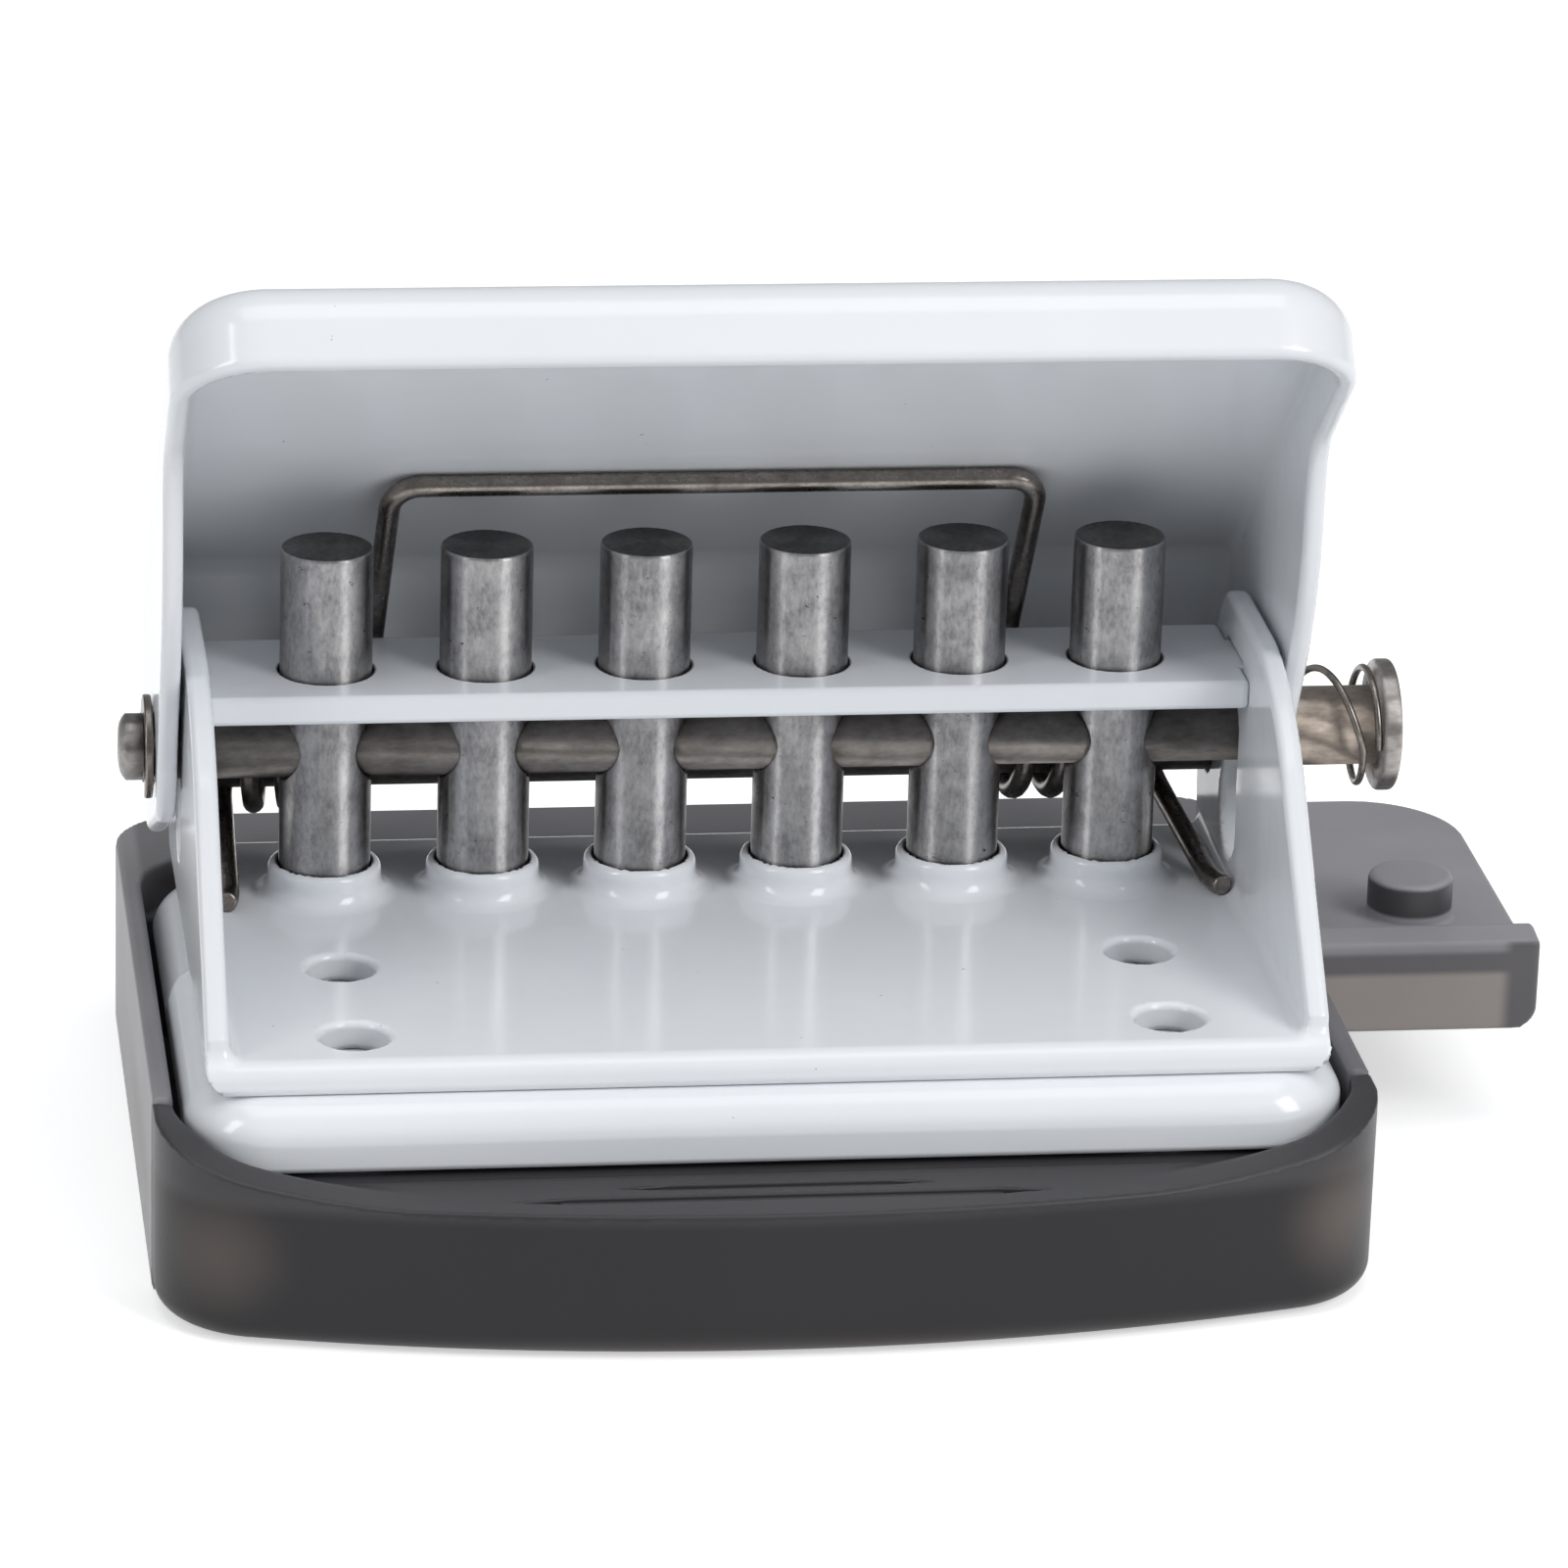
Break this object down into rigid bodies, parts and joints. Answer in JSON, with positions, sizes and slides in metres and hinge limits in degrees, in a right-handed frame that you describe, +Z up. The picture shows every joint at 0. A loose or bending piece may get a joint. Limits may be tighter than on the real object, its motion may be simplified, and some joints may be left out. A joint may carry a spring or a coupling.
{
  "type": "multi-hole paper punch",
  "caption": "Desk paper punch for loose-leaf sheets, with a pressed white lever, steel punches, a sliding paper index and a chip drawer.",
  "frame": {"origin": "on the resting face of the base, under the middle of the punch row", "axes": "+X along the punch row towards the lock head and the paper index, -Y towards the front, where the lever is pressed, +Z up"},
  "size_m": [0.0858, 0.0578, 0.0589],
  "materials": {
    "white_enamel": "glossy",
    "punch_steel": "ground satin, scratched, with blackened tops",
    "shaft_steel": "drawn satin",
    "spring_steel": "oiled spring wire",
    "plated_steel": "zinc plated",
    "smoke_plastic": "translucent satin"
  },
  "bodies": {
    "base": {"body_frame": "white_enamel", "guide_plate": "white_enamel", "base_pan": "white_enamel", "die_plate": "plated_steel", "die_rivets": "plated_steel", "base_shell": "smoke_plastic", "base_screws": "plated_steel", "fulcrum_rod": "shaft_steel", "return_spring": "spring_steel"},
    "lever_body": {"lever": "white_enamel"},
    "punches": {"punch_1": "punch_steel", "punch_2": "punch_steel", "punch_3": "punch_steel", "punch_4": "punch_steel", "punch_5": "punch_steel", "punch_6": "punch_steel"},
    "drive_shaft": {"lock_shaft": "shaft_steel", "retaining_clip": "spring_steel", "lock_spring": "spring_steel"},
    "drawer": {"chip_drawer": "smoke_plastic"},
    "index": {"paper_guide": "smoke_plastic"}
  },
  "joints": [
    {"name": "lever_press", "type": "hinge", "parent": "base", "child": "lever_body", "pos_m": [0, 0.0075, 0.021], "axis": [1, 0, 0], "range_deg": [0, 36.4], "stiffness_Nm_per_rad": 0.15, "springref_deg": -34.38, "deforming": ["return_spring"]},
    {"name": "punch_stroke", "type": "slide", "parent": "base", "child": "punches", "axis": [0, 0, -1], "range_m": [0, 0.005]},
    {"name": "lock_slide", "type": "slide", "parent": "punches", "child": "drive_shaft", "axis": [-1, 0, 0], "range_m": [0, 0.0009], "stiffness_N_per_m": 300, "springref_m": -0.004, "deforming": ["lock_spring"]},
    {"name": "drawer_slide", "type": "slide", "parent": "base", "child": "drawer", "axis": [0, -1, 0], "range_m": [0, 0.03]},
    {"name": "index_slide", "type": "slide", "parent": "base", "child": "index", "axis": [1, 0, 0], "range_m": [0, 0.019]}
  ],
  "couplings": [
    {"joint": "punch_stroke", "follows": "lever_press", "m_per_rad": 0.00787}
  ]
}
